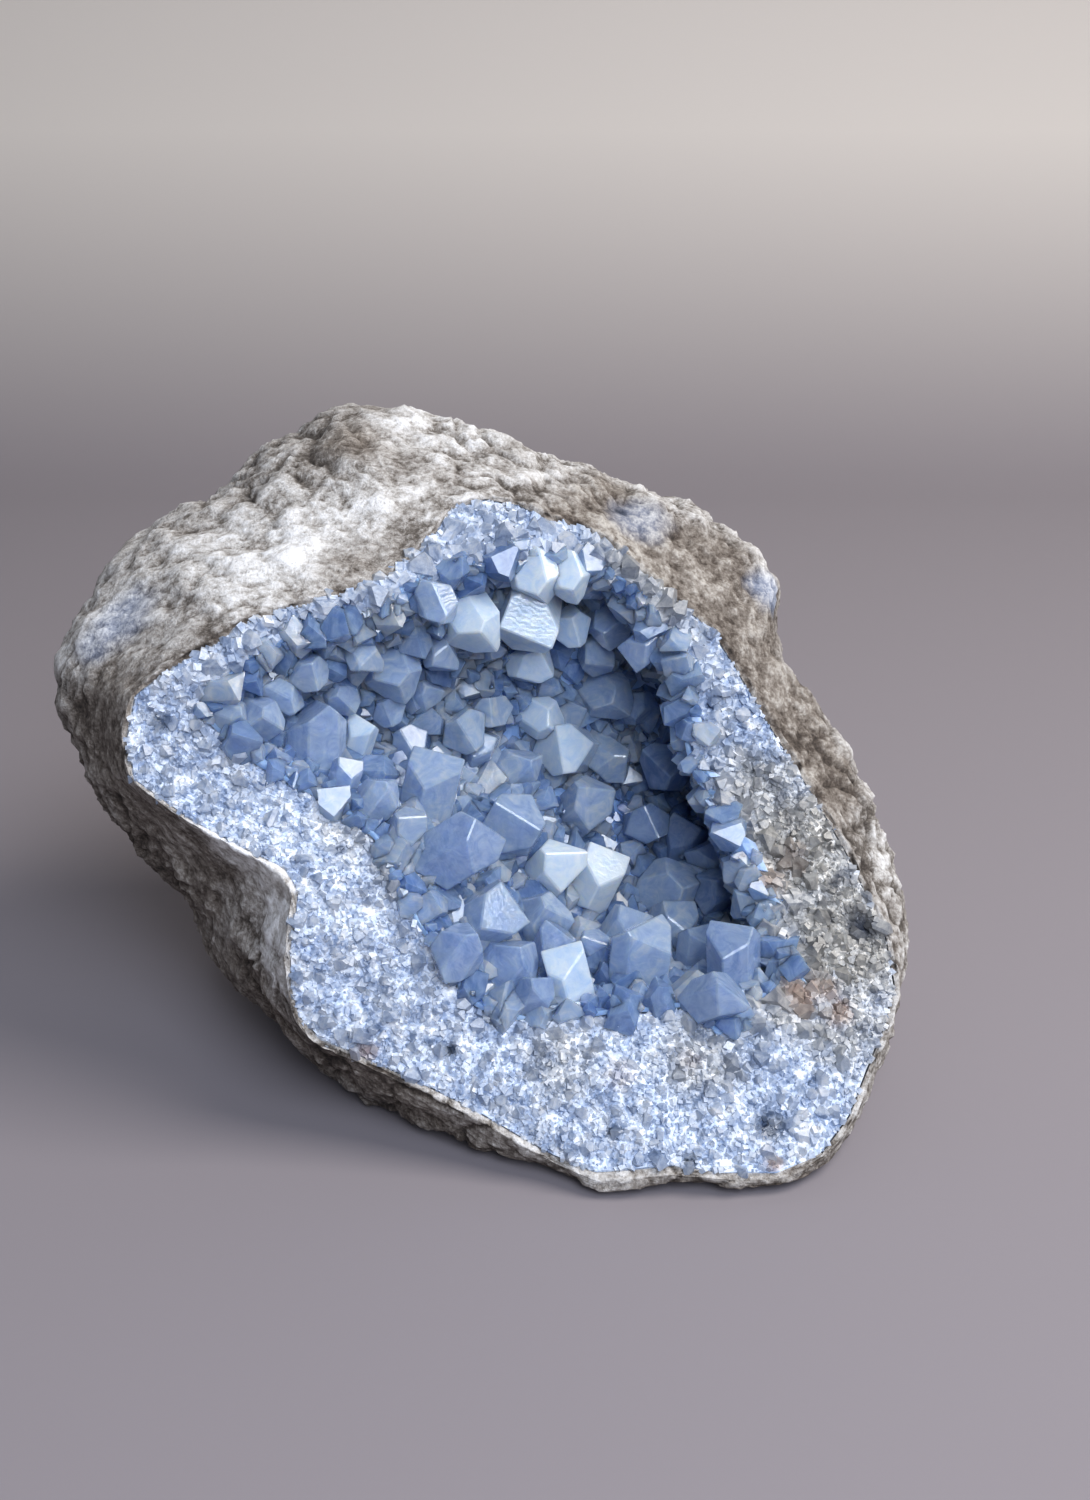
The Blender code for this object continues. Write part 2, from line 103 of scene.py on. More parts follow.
def sight(column, row):
    """The direction from the eye through this column and row of the picture."""
    across = RIGHT * (column - PICTURE[0] / 2) * COLUMN_WIDTH
    above = UP * (PICTURE[1] / 2 - row) * COLUMN_WIDTH
    return (across + above - TOWARD * EYE_DISTANCE).normalized()


# %% [markdown]
# ## Meshes to work on
#
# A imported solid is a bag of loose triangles. A copy of it has to be merged before anything can be
# smoothed or pushed about, because only then do neighbouring triangles share their corners. Fine
# relief also needs small triangles, so every triangle is split into four, a few times over, until
# its sides are about as long as the smallest bump that should show.

# %% Copy, merge, refine
MERGE_DISTANCE = 0.01 * MM


def merged_copy(node):
    """The node's mesh as a bmesh whose triangles share their corners."""
    bm = bmesh.new()
    bm.from_mesh(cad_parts[node].data)
    bmesh.ops.remove_doubles(bm, verts=bm.verts, dist=MERGE_DISTANCE)
    bm.normal_update()
    return bm


def halved(vertices, triangles):
    """Splits each triangle into four by the middles of its edges."""
    edges = np.sort(triangles[:, [0, 1, 1, 2, 2, 0]].reshape(-1, 2), axis=1)
    unique, index = np.unique(edges, axis=0, return_inverse=True)
    a, b, c = triangles.T
    ab, bc, ca = (len(vertices) + index.reshape(-1, 3)).T
    fours = ((a, ab, ca), (ab, b, bc), (ca, bc, c), (ab, bc, ca))
    triangles = np.concatenate([np.stack(corners, axis=1) for corners in fours])
    return np.concatenate([vertices, vertices[unique].mean(axis=1)]), triangles


# %% Refine and smooth


def refined(bm, wanted, times):
    """Vertices and triangles after so many halvings, and for each vertex whether all the faces round
    it are wanted ones, and whether any is."""
    bm.verts.index_update()
    vertices = np.array([v.co for v in bm.verts])
    triangles = np.array([[v.index for v in f.verts] for f in bm.faces])
    flags = np.array([wanted(f) for f in bm.faces])
    for _ in range(times):
        vertices, triangles = halved(vertices, triangles)
        flags = np.tile(flags, 4)
    some, other = np.zeros(len(vertices), bool), np.zeros(len(vertices), bool)
    some[triangles[flags]] = True
    other[triangles[~flags]] = True
    return vertices, triangles, some & ~other, some


def smoothed(vertices, triangles, free, passes):
    """Draws each free vertex half-way to the middle of its neighbours, so many times."""
    edges = triangles[:, [0, 1, 1, 2, 2, 0]].reshape(-1, 2)
    count = np.bincount(edges[:, 0], minlength=len(vertices))[:, None]
    for _ in range(passes):
        sums = np.stack([np.bincount(edges[:, 0], vertices[edges[:, 1], k], len(vertices))
                         for k in range(3)], axis=1)
        vertices = np.where(free[:, None], 0.5 * vertices + 0.5 * sums / count, vertices)
    return vertices


# %% Make meshes and pieces


def mesh_of(name, vertices, triangles):
    mesh = bpy.data.meshes.new(name)
    mesh.from_pydata(vertices.tolist(), [], triangles.tolist())
    return mesh


def normals_of(vertices, triangles):
    mesh = mesh_of("normals", vertices, triangles)
    normals = np.array([v.normal for v in mesh.vertices])
    bpy.data.meshes.remove(mesh)
    return normals


def give(mesh, name, values):
    """Stores one number, or one colour of three, for each vertex."""
    values = np.array(values, float)
    if values.ndim == 1:
        mesh.attributes.new(name, "FLOAT", "POINT").data.foreach_set("value", values)
        return
    colours = np.concatenate([values, np.ones((len(values), 1))], axis=1)
    mesh.attributes.new(name, "FLOAT_COLOR", "POINT").data.foreach_set("color", colours.ravel())


def add_piece(name, mesh, finish=None):
    obj = bpy.data.objects.new(name, mesh)
    bpy.context.scene.collection.objects.link(obj)
    if finish:
        mesh.materials.clear()
        mesh.materials.append(finish)
    return obj


def tree_of(bm):
    return BVHTree.FromBMesh(bm)


def to_mesh(bm, name):
    mesh = bpy.data.meshes.new(name)
    bm.to_mesh(mesh)
    bm.free()
    return mesh


# %% Merge the three solids
rind_solid = merged_copy("limestone_rind")
band_solid = merged_copy("celestite_band")
crust_solid = merged_copy("crystal_crust")
rind_tree, band_tree, crust_tree = tree_of(rind_solid), tree_of(band_solid), tree_of(crust_solid)
print("merged corners:", len(rind_solid.verts), len(band_solid.verts), len(crust_solid.verts))

# %% Look for a surface
JUST_OFF = 0.05 * MM  # where a ray starts, so that it doesn't meet its own face
THROUGH_STONE = 40 * MM  # farther than the stone's wall is thick


def meets(tree, face, reach):
    """Whether a ray from the middle of the face, along its normal, meets that surface in reach."""
    start = face.calc_center_median() + face.normal * JUST_OFF
    return tree.ray_cast(start, face.normal, reach)[0] is not None


def seen_on(tree, column, row):
    """Where the line of sight through this column and row meets the surface, and its normal."""
    spot, normal, _, _ = tree.ray_cast(EYE, sight(column, row))
    return spot, normal


# %% [markdown]
# ## Colours and shader nodes
#
# Colours are easiest to judge as they look on a screen, so they are written as screen hex values and
# turned to linear light once. Shader trees are built with one small function, which adds a node, sets
# it up and links what feeds it.

# %% Helpers for materials
TOE_END, TOE_SLOPE = 0.04045, 12.92  # a screen's curve starts straight
CURVE_OFFSET, CURVE_POWER = 0.055, 2.4  # and goes on as a power


def linear(hex_colour):
    """A screen colour such as '#a0b4d2' as linear light, with alpha 1."""
    light = []
    for k in (1, 3, 5):
        part = int(hex_colour[k:k + 2], 16) / 255
        curved = ((part + CURVE_OFFSET) / (1 + CURVE_OFFSET)) ** CURVE_POWER
        light.append(part / TOE_SLOPE if part <= TOE_END else curved)
    return (*light, 1)


def add(tree, kind, inputs=None, **settings):
    """Adds a node, sets its properties, and sets or links each input given by name or number."""
    made = tree.nodes.new(kind)
    for name, value in settings.items():
        setattr(made, name, value)
    for key, value in (inputs or {}).items():
        if isinstance(value, bpy.types.NodeSocket):
            tree.links.new(value, made.inputs[key])
        else:
            made.inputs[key].default_value = value
    return made


# %% Helpers for tones and patterns
SHARE, FIRST_COLOUR, SECOND_COLOUR = 0, 6, 7  # inputs of a Mix node that mixes colours
MIXED_COLOUR = 2  # and its output


def graded(tree, value, stops):
    """A colour ramp: stops are (position, hex colour)."""
    ramp = add(tree, "ShaderNodeValToRGB", {0: value})
    elements = ramp.color_ramp.elements
    while len(elements) < len(stops):
        elements.new(0.5)
    for element, (position, colour) in zip(elements, stops):
        element.position, element.color = position, linear(colour)
    return ramp.outputs["Color"]


def grains(tree, coordinates, width, detail, roughness, distortion=0.0):
    """Noise whose lumps are about this wide, in metres."""
    made = add(tree, "ShaderNodeTexNoise", {
        "Vector": coordinates, "Scale": 1 / width, "Detail": detail, "Roughness": roughness,
        "Distortion": distortion})
    return made.outputs["Fac"]


def blended(tree, share, first, second):
    given = {SHARE: share, FIRST_COLOUR: first, SECOND_COLOUR: second}
    return add(tree, "ShaderNodeMix", given, data_type="RGBA").outputs[MIXED_COLOUR]


def maths(tree, operation, first, second=0.0, clamp=False):
    made = add(tree, "ShaderNodeMath", {0: first, 1: second}, operation=operation, use_clamp=clamp)
    return made.outputs[0]


def weighted(tree, parts, shift):
    """The sum of the parts, each times its weight, less the shift."""
    total = None
    for value, weight in parts:
        part = maths(tree, "MULTIPLY", value, weight)
        total = part if total is None else maths(tree, "ADD", total, part)
    return maths(tree, "SUBTRACT", total, shift)


def bumped(tree, shader, height, strength, depth):
    """Lets the height, from 0 to 1, stand for a relief this deep, in metres."""
    bump = add(tree, "ShaderNodeBump", {"Strength": strength, "Distance": depth, "Height": height})
    tree.links.new(bump.outputs[0], shader.inputs["Normal"])


def new_material(name):
    """A material with its tree, its Principled shader and its Object coordinates."""
    made = bpy.data.materials.new(name)
    made.use_nodes = True
    tree = made.node_tree
    shader = tree.nodes["Principled BSDF"]
    place = add(tree, "ShaderNodeTexCoord").outputs["Object"]
    return made, tree, shader, place


# %% [markdown]
# ## The limestone rind: finish
#
# The rind is weathered limestone: chalky white where it was rubbed, grey and brown where dirt and iron
# stayed in the pits, here and there with a patch of celestite showing through. Weathering follows the
# relief, so the mesh hands its heights to the shader as an attribute, and the stain is strongest low
# down in the pits. A fine noise of about a millimetre gives the grit, and a finer one the bump.
# The marks also carry painted shade where the rind faces down, and painted fill light at two spots.

# %% Weathered limestone, broken and rained on for long
CHALK = [(0.12, "#38302b"), (0.30, "#6d665f"), (0.42, "#a09b96"), (0.55, "#cac7c4"), (0.75, "#f4f4f5")]
EARTH = [(0.12, "#231c17"), (0.32, "#50463e"), (0.50, "#827970"), (0.75, "#c4beb6")]
BLUE_PATCH = [(0.15, "#5a6a85"), (0.42, "#93a5c6"), (0.70, "#e2e8f2")]
PATCH_WIDTH, MOTTLE_WIDTH, SAND_WIDTH = 14 * MM, 3.2 * MM, 0.9 * MM
CREST_SHARE, PATCH_SHARE, MOTTLE_SHARE, SAND_SHARE = 0.55, 0.35, 0.75, 0.70
LIMESTONE_SHIFT = 0.70
LIMESTONE_ROUGHNESS = 0.88
SAND_DEPTH = 0.9 * MM


def weathered_limestone():
    made, tree, shader, place = new_material("weathered_limestone")
    # These marks also hold painted shade on downward faces and painted fill light at two chalk spots.
    marks = add(tree, "ShaderNodeAttribute", attribute_name="weathering_and_painted_light")
    split = add(tree, "ShaderNodeSeparateColor", {0: marks.outputs["Color"]})
    crest, brown, blue = split.outputs[0], split.outputs[1], split.outputs[2]
    patches = grains(tree, place, PATCH_WIDTH, detail=3, roughness=0.6)
    mottle = grains(tree, place, MOTTLE_WIDTH, detail=6, roughness=0.7)
    sand = grains(tree, place, SAND_WIDTH, detail=4, roughness=0.75)
    tone = weighted(tree, [(crest, CREST_SHARE), (patches, PATCH_SHARE), (mottle, MOTTLE_SHARE),
                           (sand, SAND_SHARE)], LIMESTONE_SHIFT)
    colour = blended(tree, brown, graded(tree, tone, CHALK), graded(tree, tone, EARTH))
    colour = blended(tree, blue, colour, graded(tree, tone, BLUE_PATCH))
    tree.links.new(colour, shader.inputs["Base Color"])
    shader.inputs["Roughness"].default_value = LIMESTONE_ROUGHNESS
    height = maths(tree, "ADD", mottle, maths(tree, "MULTIPLY", sand, 0.6))
    bumped(tree, shader, height, 1.0, SAND_DEPTH)
    return made


limestone = weathered_limestone()

# %% [markdown]
# ## The limestone rind: form
#
# The solid already has the nodule's lumps. What it lacks is everything under a centimetre: knobs,
# cracks, pits and grit. They could come from a displacement texture, but a sum of noises in code can
# also remember how high each point came to lie, which the finish needs. The broken edge stays thin,
# so the relief is half as high near it. Stains and patches are places seen from the viewing place.

# %% Places of stains and patches
# Column, row, radius in mm, how strong.
BROWN_SPOTS = [
    (620, 530, 15, 1.0), (690, 575, 15, 1.0), (740, 640, 13, 0.9), (780, 720, 14, 1.0), (815, 775, 13, 1.0),
    (590, 490, 9, 0.9), (700, 600, 14, 0.8), (660, 545, 10, 0.7), (800, 790, 11, 0.8), (750, 650, 9, 0.7),
    (840, 850, 9, 0.6), (350, 440, 8, 0.5), (110, 700, 14, 0.7), (170, 850, 12, 0.8), (260, 1000, 12, 0.7),
    (420, 1120, 8, 0.4), (330, 560, 8, 0.5), (480, 560, 6, 0.6),
]
BLUE_SPOTS = [
    (450, 515, 6, 0.9), (480, 508, 6, 0.9), (510, 520, 5, 0.8), (120, 615, 7, 0.5), (640, 520, 6, 0.4),
    (540, 545, 5, 0.8), (770, 590, 5, 0.5), (95, 640, 5, 0.4),
]
# Chalky white patches; the two at columns 235 and 275 are partly chalk and partly painted fill light.
CHALK_AND_FILL_LIGHT_SPOTS = [
    (265, 550, 15, 0.8), (440, 430, 12, 0.6), (560, 470, 8, 0.4), (880, 960, 8, 0.7),
    (235, 850, 11, 1.0), (275, 930, 10, 1.0), (330, 520, 8, 0.4),
]

# %% Read the places, and mark what lies near them
RAGGED_WIDTH, RAGGED_SHARE = 6 * MM, 0.35
SPOT_EDGE = 1.6  # the distance, in radii, at which a spot is gone


def lumps(point, width, apart=(0, 0, 0), softness=0.8, step=2.0, octaves=3):
    """Noise with lumps this wide; apart keeps its pattern clear of the other noises."""
    return noise.fractal(point / width + Vector(apart), softness, step, octaves)


def spots_on(tree, spots):
    """The spots that the lines of sight find on this surface: place, radius, strength."""
    found = []
    for column, row, radius, strength in spots:
        spot, _ = seen_on(tree, column, row)
        if spot is not None:
            found.append((spot, radius * MM, strength))
    return found


def clipped(value):
    return min(1, max(0, value))


def strength_at(point, spots):
    """How strongly the nearest of the spots marks this point, with ragged borders."""
    ragged = RAGGED_SHARE * lumps(point, RAGGED_WIDTH, softness=1.0)
    most = 0
    for spot, radius, strength in spots:
        reach = (point - spot).length / radius + ragged
        most = max(most, strength * clipped(SPOT_EDGE - reach))
    return most


# %% The weathered relief
KNOB_WIDTH, KNOB_HEIGHT, KNOB_SHOWS = 9 * MM, 1.5 * MM, 0.22
PEBBLE_WIDTH, PEBBLE_HEIGHT, PEBBLE_SHOWS, PEBBLE_MIDDLE = 3.4 * MM, 0.9 * MM, 0.45, 0.2
GRIT_WIDTH, GRIT_HEIGHT, GRIT_SHOWS = 1.4 * MM, 0.35 * MM, 0.2
CRACK_SPACING, CRACK_DEPTH, CRACK_SHOWS = 15 * MM, 1.8 * MM, 0.6
CRACK_WANDER, WANDER_WIDTH = 0.35, 8 * MM
CRACK_SHARPNESS = 9
CRACKED_WIDTH = 40 * MM  # some parts of the stone are cracked and others aren't
CRACK_SEED = 3
noise.seed_set(CRACK_SEED)  # without it noise_vector starts from the clock, and the cracks move each run


def rock_height(point):
    """Height of the weathered surface over the plain solid, and how crest-like the point is."""
    knobs = lumps(point, KNOB_WIDTH)
    pebbles = 0.5 - abs(lumps(point, PEBBLE_WIDTH, (3, 1, 8), softness=0.9, step=2.1))
    grit = lumps(point, GRIT_WIDTH, (5, 5, 1), softness=0.7, step=2.2, octaves=2)
    wander = CRACK_WANDER * noise.noise_vector(point / WANDER_WIDTH)
    near, _ = noise.voronoi(point / CRACK_SPACING + wander)
    crack = max(0, 1 - (near[1] - near[0]) * CRACK_SHARPNESS)
    crack *= clipped(0.5 + 2 * noise.noise(point / CRACKED_WIDTH + Vector((9, 2, 2))))
    height = KNOB_HEIGHT * knobs + PEBBLE_HEIGHT * pebbles + GRIT_HEIGHT * grit - CRACK_DEPTH * crack
    crest = (0.5 + KNOB_SHOWS * knobs + PEBBLE_SHOWS * (pebbles - PEBBLE_MIDDLE) + GRIT_SHOWS * grit
             - CRACK_SHOWS * crack)
    return height, clipped(crest)


# %% Carve the rind
HALVINGS = 3
RIND_SMOOTHING = 10
EDGE_FADE = 6 * MM  # thickness of rind under which the relief grows lower
LEAST_RELIEF = 0.5
SUNK = 0.4 * MM
UNSEEN_MARKS = (0.5, 0.2, 0.0)
BROWN_EVERYWHERE, BROWN_SPREAD, BROWN_WIDTH = 0.25, 0.5, 30 * MM
# Painted shade: the rind turns darker and browner the less it faces up.
UNDERSIDE_SHADE_BROWN, UNDERSIDE_SHADE_DARK = 0.7, 0.2
CHALK_AND_FILL_LIGHT_LIFT = 0.35


def outside(face):
    return not meets(band_tree, face, THROUGH_STONE)


def carved_rind():
    points, triangles, free, _ = refined(rind_solid, outside, HALVINGS)
    points = smoothed(points, triangles, free, RIND_SMOOTHING)
    normals = normals_of(points, triangles)
    brown, blue, chalk_and_lit_spots = (spots_on(rind_tree, s) for s in (BROWN_SPOTS, BLUE_SPOTS, CHALK_AND_FILL_LIGHT_SPOTS))
    low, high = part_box("limestone_rind")
    marks = np.tile(UNSEEN_MARKS, (len(points), 1))
    for k in np.flatnonzero(free):
        point, normal = Vector(points[k]), Vector(normals[k])
        height, crest = rock_height(point)
        thin = band_tree.find_nearest(point)[3] / EDGE_FADE
        points[k] = point + normal * (height * min(1, max(LEAST_RELIEF, thin)) - SUNK)
        broad = BROWN_SPREAD * lumps(point, BROWN_WIDTH, (1, 7, 3))
        # Painted shade on faces turned sideways or down: a darker tone and more brown.
        underside_shade = max(0, 0.5 - normal.z) * UNDERSIDE_SHADE_BROWN
        # Chalk whitens and lifts the tone; at two spots this is painted fill light.
        chalk_and_fill_light = strength_at(point, chalk_and_lit_spots)
        marks[k] = (crest + CHALK_AND_FILL_LIGHT_LIFT * chalk_and_fill_light - UNDERSIDE_SHADE_DARK * underside_shade,
                    BROWN_EVERYWHERE + broad + strength_at(point, brown) + underside_shade - chalk_and_fill_light,
                    strength_at(point, blue))
    mesh = mesh_of("rind", np.clip(points, low, high), triangles)
    give(mesh, "weathering_and_painted_light", np.clip(marks, 0, 1))
    mesh.shade_smooth()
    return mesh


rind = add_piece("rind", carved_rind(), limestone)
print("rind triangles:", len(rind.data.polygons))

# %% [markdown]
# ## The granular band: finish
#
# The band is massive celestite that broke through its grains, so it looks like coarse sugar: white
# where the grains are bruised, pale blue and steel grey where light gets into them, with iron stain
# in a few cracks. Each grain reflects on its own, which is why grain tones are random and the gloss
# is higher than on the rind. A little transmission lets the edges of the loose grains glow, and the
# coarse ones are clearer.

# %% Granular celestite, broken through its grains
CELESTITE_IOR = 1.62
COOL = [(0.12, "#546a8c"), (0.28, "#8fa3c4"), (0.42, "#b9c8e0"), (0.58, "#dfe7f3"), (0.76, "#fbfcff")]
SANDY = [(0.14, "#57534e"), (0.34, "#8b8780"), (0.52, "#b8b4ac"), (0.76, "#efece6")]
# The first is painted shade, the dark blue laid into the pits; the second is iron stain.
PIT_SHADE_BLUE, IRON_STAIN = linear("#24344f"), linear("#a07a58")
CLOUD_WIDTH, SUGAR_WIDTH, CELL_WIDTH = 5 * MM, 1.1 * MM, 1.8 * MM
CLOUD_SHARE, CELL_SHARE, SUGAR_SHARE, GRANULAR_SHIFT = 1.15, 0.22, 0.35, 0.38
OWN_TONE, PLACE_TONE = 0.6, 0.4
STAIN_STRENGTH = 0.7
BROKEN_ROUGHNESS = 0.28
SUGAR_DEPTH = 0.35 * MM


def granular_celestite(name, loose, transmission):
    made, tree, shader, place = new_material(name)
    marks = add(tree, "ShaderNodeAttribute", attribute_name="staining_and_pit_shade")
    split = add(tree, "ShaderNodeSeparateColor", {0: marks.outputs["Color"]})
    warm, rust, pit_shade = split.outputs[0], split.outputs[1], split.outputs[2]
    clouds = grains(tree, place, CLOUD_WIDTH, detail=5, roughness=0.68, distortion=1.0)
    sugar = grains(tree, place, SUGAR_WIDTH, detail=3, roughness=0.7)
    cells = add(tree, "ShaderNodeTexVoronoi", {"Vector": place, "Scale": 1 / CELL_WIDTH}, feature="F1")
    cell = add(tree, "ShaderNodeSeparateColor", {0: cells.outputs["Color"]}).outputs[0]
    if loose:
        own = add(tree, "ShaderNodeAttribute", attribute_name="grain_tone").outputs["Fac"]
        cell = weighted(tree, [(own, OWN_TONE), (cell, PLACE_TONE)], 0.0)
    tone = weighted(
        tree, [(clouds, CLOUD_SHARE), (cell, CELL_SHARE), (sugar, SUGAR_SHARE)], GRANULAR_SHIFT)
    colour = blended(tree, warm, graded(tree, tone, COOL), graded(tree, tone, SANDY))
    # Painted shade: the pits turn dark blue.
    colour = blended(tree, pit_shade, colour, PIT_SHADE_BLUE)
    colour = blended(tree, maths(tree, "MULTIPLY", rust, STAIN_STRENGTH), colour, IRON_STAIN)
    tree.links.new(colour, shader.inputs["Base Color"])
    shader.inputs["Roughness"].default_value = BROKEN_ROUGHNESS
    shader.inputs["IOR"].default_value = CELESTITE_IOR
    shader.inputs["Transmission Weight"].default_value = transmission
    bumped(tree, shader, sugar, 0.6, SUGAR_DEPTH)
    return made


broken_celestite = granular_celestite("granular_celestite", loose=False, transmission=0.0)
sugar_celestite = granular_celestite("granular_celestite_sugar", loose=True, transmission=0.22)
coarse_celestite = granular_celestite("granular_celestite_coarse", loose=True, transmission=0.55)

# %% [markdown]
# ## The granular band: form
#
# Only the broken face of the band can be seen: the rind covers its back and the crust its hollow. A
# ray from each triangle along its normal tells which is which, because on the open face it meets
# nothing. Those triangles are refined and get a bumpy, crystalline relief, and the points carry two
# masks for later: where grains may sit, and where they grow large.

# %% Places of pits and stains
# Column, row, radius in mm, and for stains how strong.
PITS = [
    (860, 925, 4.5), (770, 1125, 4.5), (612, 1132, 2.0), (450, 1050, 2.0), (690, 1160, 2.0),
    (160, 722, 2.5),
]
RUST_SPOTS = [
    (800, 995, 4, 0.9), (825, 990, 3, 0.7), (770, 880, 3, 0.7), (840, 1010, 3, 0.8), (775, 1163, 1.6, 0.9),
    (790, 860, 3, 0.5), (620, 1075, 3, 0.35), (450, 1110, 3, 0.3), (365, 1052, 2, 0.8), (690, 1060, 2, 0.3),
]
WARM_SPOTS = [
    (840, 940, 16, 0.9), (800, 850, 14, 0.9), (760, 800, 10, 0.7), (850, 1020, 10, 0.6),
    (400, 870, 8, 0.4), (560, 1060, 7, 0.4), (700, 1060, 8, 0.5), (780, 1000, 9, 0.6),
    (640, 590, 12, 0.6), (560, 1180, 10, 0.4), (350, 830, 6, 0.4), (860, 1100, 8, 0.4),
]

# %% Roughen the broken face
BAND_SMOOTHING = 2
CLUMP_WIDTH, CLUMP_HEIGHT = 8 * MM, 1.5 * MM
NUGGET_WIDTH, NUGGET_HEIGHT, NUGGET_MIDDLE = 2.6 * MM, 0.9 * MM, 0.45
# A pit's depth is carved; its darkness is painted shade.
PIT_DEPTH, PIT_SHADE_STRENGTH = 3.0 * MM, 0.8
# Grains had room to grow at the roof, at the right side, and near the crust.
ROOF, RIGHT_SIDE, CRUST_NEAR = (75 * MM, 95 * MM), (45 * MM, 65 * MM), 12 * MM
ROOMY_SWELL = 1.3


def ramped(value, low, high):
    """0 up to low, 1 from high, and evenly between."""
    return clipped((value - low) / (high - low))


def open_face(face):
    return not any(meets(tree, face, THROUGH_STONE) for tree in (rind_tree, crust_tree))


def band_height(point, pits):
    """Height of the broken face over the plain solid, and how deep in a pit the point is."""
    clumps = lumps(point, CLUMP_WIDTH, (4, 2, 6))
    near, _ = noise.voronoi(point / NUGGET_WIDTH)
    nuggets = NUGGET_MIDDLE - near[0]
    height = CLUMP_HEIGHT * clumps + NUGGET_HEIGHT * nuggets
    hollow = 0
    for spot, radius in pits:
        hollow = max(hollow, 1 - ((point - spot).length / radius) ** 2)
    return height - PIT_DEPTH * hollow, hollow


def broken_band():
    points, triangles, free, shown = refined(band_solid, open_face, HALVINGS)
    points = smoothed(points, triangles, free, BAND_SMOOTHING)
    normals = normals_of(points, triangles)
    pits = [(seen_on(band_tree, c, r)[0], radius * MM) for c, r, radius in PITS]
    rust, warm = spots_on(band_tree, RUST_SPOTS), spots_on(band_tree, WARM_SPOTS)
    low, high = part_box("celestite_band")
    stains_and_pit_shade, swell = np.zeros((len(points), 3)), np.ones(len(points))
    for k in np.flatnonzero(shown):
        point = Vector(points[k])
        height, hollow = band_height(point, pits)
        if free[k]:
            points[k] = point + Vector(normals[k]) * height
        # The third mark is painted shade, strongest at the middle of a pit.
        stains_and_pit_shade[k] = strength_at(point, warm), strength_at(point, rust), PIT_SHADE_STRENGTH * hollow
        roomy = max(ramped(point.z, *ROOF), ramped(point.x, *RIGHT_SIDE))
        swell[k] += ROOMY_SWELL * roomy * ramped(-crust_tree.find_nearest(point)[3], -CRUST_NEAR, 0)
    mesh = mesh_of("band", np.clip(points, low, high), triangles)
    give(mesh, "staining_and_pit_shade", np.clip(stains_and_pit_shade, 0, 1))
    give(mesh, "growth", shown)
    give(mesh, "swell", swell)
    return mesh


band = add_piece("band", broken_band(), broken_celestite)
print("band triangles:", len(band.data.polygons))

# %% [markdown]
# ## One crystal
#
# Celestite is orthorhombic: its cell has three unequal sides at right angles. Each flat face of a
# crystal is parallel to a plane that is named by three whole numbers, and the numbers over the cell's
# sides give the face's direction. So a crystal is a block with a plane cut off for each face, on both
# sides, at slightly different distances, because no crystal grows evenly. The growth axis is the
# cell's a axis. A narrow bevel on the edges catches the light, as the real edges do.

# %% Cut crystals from blocks
CELL = (8.36, 5.35, 6.87)  # the sides a, b and c, in tenths of a nanometre
# The three whole numbers of each face, and its distance from the middle as a share of the half-length.
FACES = [
    ((0, 0, 1), 0.64), ((2, 1, 0), 0.86), ((2, -1, 0), 0.86), ((0, 1, 1), 0.72), ((0, 1, -1), 0.72),
]
BLOCK_SIZE = 6  # of the block that is cut, in half-lengths


def crystal(half_length, faces, rng, unevenness, bevel=0.0):
    """A closed convex crystal at the origin, growing along +Z."""
    bm = bmesh.new()
    bmesh.ops.create_cube(bm, size=BLOCK_SIZE * half_length)
    for indices, share in faces:
        a, b, c = (index / side for index, side in zip(indices, CELL))
        normal = Vector((b, c, a)).normalized()
        for side in (1, -1):
            distance = half_length * share * rng.uniform(1 - unevenness, 1 + unevenness)
            cut = bmesh.ops.bisect_plane(
                bm, geom=[*bm.verts, *bm.edges, *bm.faces], clear_outer=True,
                plane_co=normal * side * distance, plane_no=normal * side)
            edges = [e for e in cut["geom_cut"] if isinstance(e, bmesh.types.BMEdge)]
            if edges:
                bmesh.ops.contextual_create(bm, geom=edges)
    if bevel:
        bmesh.ops.bevel(
            bm, geom=[*bm.edges], offset=bevel, segments=1, affect="EDGES", clamp_overlap=True)
    bmesh.ops.triangulate(bm, faces=bm.faces)
    return bm


# %% Pools of unit crystals
POOL_UNEVENNESS = 0.3


def crystal_pool(name, count, seed, faces):
    """A hidden collection of unit crystals for scattering."""
    rng = np.random.default_rng(seed)
    pool = bpy.data.collections.new(name)
    for k in range(count):
        mesh = to_mesh(crystal(1.0, faces, rng, POOL_UNEVENNESS), f"{name}_{k}")
        pool.objects.link(bpy.data.objects.new(f"{name}_{k}", mesh))
    return pool


block_pool = crystal_pool("blocks", count=10, seed=3, faces=FACES[:3])
druse_pool = crystal_pool("druse", count=12, seed=5, faces=FACES)

# %% [markdown]
# ## Scattering with Geometry Nodes
#
# Thousands of grains follow one rule: sit on the surface where it is marked, keep a distance from the
# next one, lean a little, vary in size. A node tree says that once. Its inputs are named, so that the
# same tree makes sugar grains, coarse grains and the small crystals of the hollow. The tree ends by
# realizing the instances, because only real triangles survive an export.

# %% The scattering tree
SCATTER_INPUTS = [
    ("Geometry", "NodeSocketGeometry"), ("Shapes", "NodeSocketCollection"), ("Spacing", "NodeSocketFloat"),
    ("Density", "NodeSocketFloat"), ("Smallest", "NodeSocketFloat"), ("Largest", "NodeSocketFloat"),
    ("Lean", "NodeSocketFloat"), ("Seed", "NodeSocketInt"), ("Finish", "NodeSocketMaterial"),
]
FEW_LARGE = 2.2  # as a power of a number from 0 to 1, it makes large ones rare
TONE_SEED = 11


